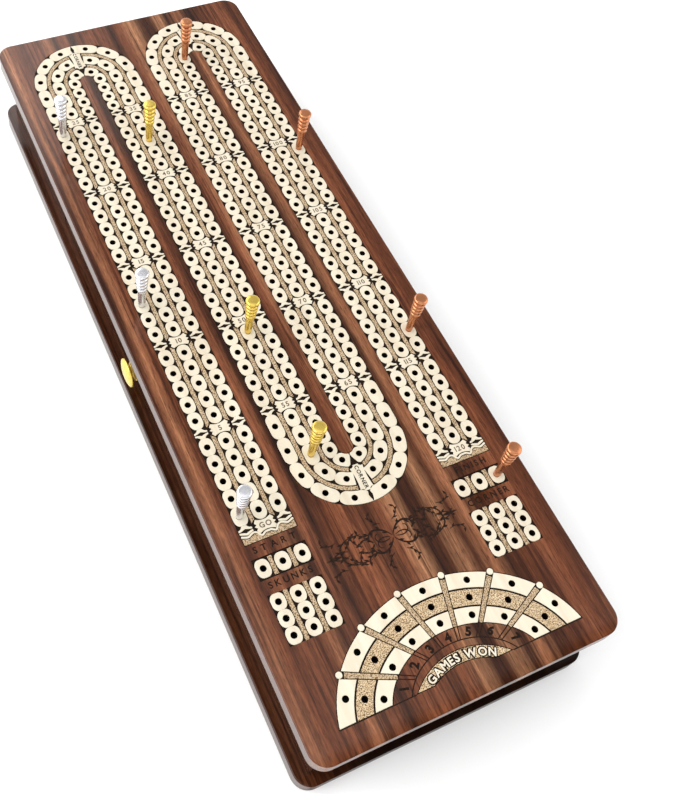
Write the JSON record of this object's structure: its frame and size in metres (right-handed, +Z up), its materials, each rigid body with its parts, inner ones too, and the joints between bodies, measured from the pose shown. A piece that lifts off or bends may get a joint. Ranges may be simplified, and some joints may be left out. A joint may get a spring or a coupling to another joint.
{
  "type": "cribbage board",
  "caption": "Long wooden cribbage board with an inlaid winding track of peg holes, turned metal pegs and a side drawer under the top.",
  "frame": {"origin": "centre of the bottom board's underside, on the surface the board stands on", "axes": "+Z up, +Y along the length away from the start and games-won end, -X towards the side with the drawer's knob"},
  "size_m": [0.1256, 0.3556, 0.069],
  "materials": {
    "top_rosewood": "gloss lacquer over streaked rosewood",
    "maple_inlay": "lacquered maple with burnt lines",
    "dark_rosewood": "gloss lacquer over dark rosewood",
    "pale_wood": "plain satin wood",
    "brass": "polished",
    "screw_steel": "plated",
    "silver_metal": "polished",
    "gold_metal": "polished",
    "copper_metal": "polished"
  },
  "bodies": {
    "board": {"top_board": "top_rosewood", "track_inlay": "maple_inlay", "start_inlay": "maple_inlay", "skunks_inlay": "maple_inlay", "finish_inlay": "maple_inlay", "corner_inlay": "maple_inlay", "games_won_inlay": "maple_inlay", "banner_inlay": "maple_inlay", "bottom_board": "dark_rosewood", "foot_wall": "dark_rosewood", "head_wall": "dark_rosewood", "right_wall": "dark_rosewood", "left_wall_foot": "dark_rosewood", "left_wall_head": "dark_rosewood", "drawer_guide_foot": "pale_wood", "drawer_guide_head": "pale_wood"},
    "drawer": {"drawer_front": "dark_rosewood", "drawer_side_foot": "pale_wood", "drawer_side_head": "pale_wood", "drawer_back": "pale_wood", "drawer_floor": "pale_wood", "card_divider_head": "pale_wood", "card_divider_foot": "pale_wood", "drawer_knob": "brass", "knob_screw": "screw_steel"},
    "silver_peg_1": {"peg_silver_1": "silver_metal"},
    "gold_peg_1": {"peg_gold_1": "gold_metal"},
    "silver_peg_2": {"peg_silver_2": "silver_metal"},
    "gold_peg_2": {"peg_gold_2": "gold_metal"},
    "silver_peg_3": {"peg_silver_3": "silver_metal"},
    "gold_peg_3": {"peg_gold_3": "gold_metal"},
    "copper_peg_1": {"peg_copper_1": "copper_metal"},
    "copper_peg_2": {"peg_copper_2": "copper_metal"},
    "copper_peg_3": {"peg_copper_3": "copper_metal"},
    "copper_peg_4": {"peg_copper_4": "copper_metal"}
  },
  "joints": [
    {"name": "drawer_slide", "type": "slide", "parent": "board", "child": "drawer", "axis": [-1, 0, 0], "range_m": [0, 0.09]},
    {"name": "silver_peg_1_lift", "type": "slide", "parent": "board", "child": "silver_peg_1", "axis": [0, 0, 1], "range_m": [0, 0.04]},
    {"name": "gold_peg_1_lift", "type": "slide", "parent": "board", "child": "gold_peg_1", "axis": [0, 0, 1], "range_m": [0, 0.04]},
    {"name": "silver_peg_2_lift", "type": "slide", "parent": "board", "child": "silver_peg_2", "axis": [0, 0, 1], "range_m": [0, 0.04]},
    {"name": "gold_peg_2_lift", "type": "slide", "parent": "board", "child": "gold_peg_2", "axis": [0, 0, 1], "range_m": [0, 0.04]},
    {"name": "silver_peg_3_lift", "type": "slide", "parent": "board", "child": "silver_peg_3", "axis": [0, 0, 1], "range_m": [0, 0.04]},
    {"name": "gold_peg_3_lift", "type": "slide", "parent": "board", "child": "gold_peg_3", "axis": [0, 0, 1], "range_m": [0, 0.04]},
    {"name": "copper_peg_1_lift", "type": "slide", "parent": "board", "child": "copper_peg_1", "axis": [0, 0, 1], "range_m": [0, 0.04]},
    {"name": "copper_peg_2_lift", "type": "slide", "parent": "board", "child": "copper_peg_2", "axis": [0, 0, 1], "range_m": [0, 0.04]},
    {"name": "copper_peg_3_lift", "type": "slide", "parent": "board", "child": "copper_peg_3", "axis": [0, 0, 1], "range_m": [0, 0.04]},
    {"name": "copper_peg_4_lift", "type": "slide", "parent": "board", "child": "copper_peg_4", "axis": [0, 0, 1], "range_m": [0, 0.04]}
  ]
}
